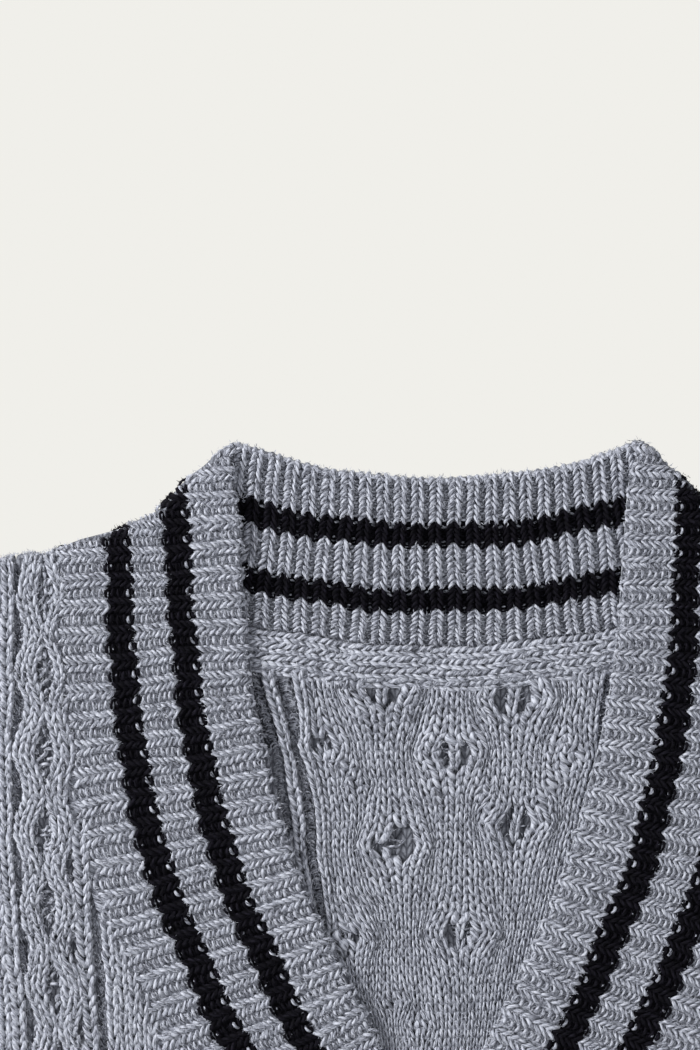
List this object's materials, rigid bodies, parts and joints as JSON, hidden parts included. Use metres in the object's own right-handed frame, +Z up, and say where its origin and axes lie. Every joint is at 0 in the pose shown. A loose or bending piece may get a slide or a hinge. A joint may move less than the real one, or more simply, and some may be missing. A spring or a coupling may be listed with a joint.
{
  "type": "sweater vest dress",
  "caption": "Sleeveless knitted dress laid flat, with a deep V neck in a wide striped rib band, chain cables and rib at armholes and hem.",
  "frame": {"origin": "centre of the bounding box's bottom face, on the surface that the dress lies on", "axes": "+Z up from the surface through the back and then the front; +Y along the dress from hem to neck; +X to the right as seen from above"},
  "size_m": [0.528, 0.88, 0.0124],
  "materials": {
    "body_knit": "heathered blue-grey chunky stockinette with cables",
    "rib_knit": "heathered blue-grey rib, with near-black stripes on the neckband"
  },
  "bodies": {
    "root": {"front_panel": "body_knit", "back_panel": "body_knit", "neckband_front_left": "rib_knit", "neckband_front_right": "rib_knit", "neckband_back": "rib_knit", "armhole_band_left_front": "rib_knit", "armhole_band_left_back": "rib_knit", "armhole_band_right_front": "rib_knit", "armhole_band_right_back": "rib_knit", "hem_rib_front": "rib_knit", "hem_rib_back": "rib_knit"}
  },
  "joints": []
}
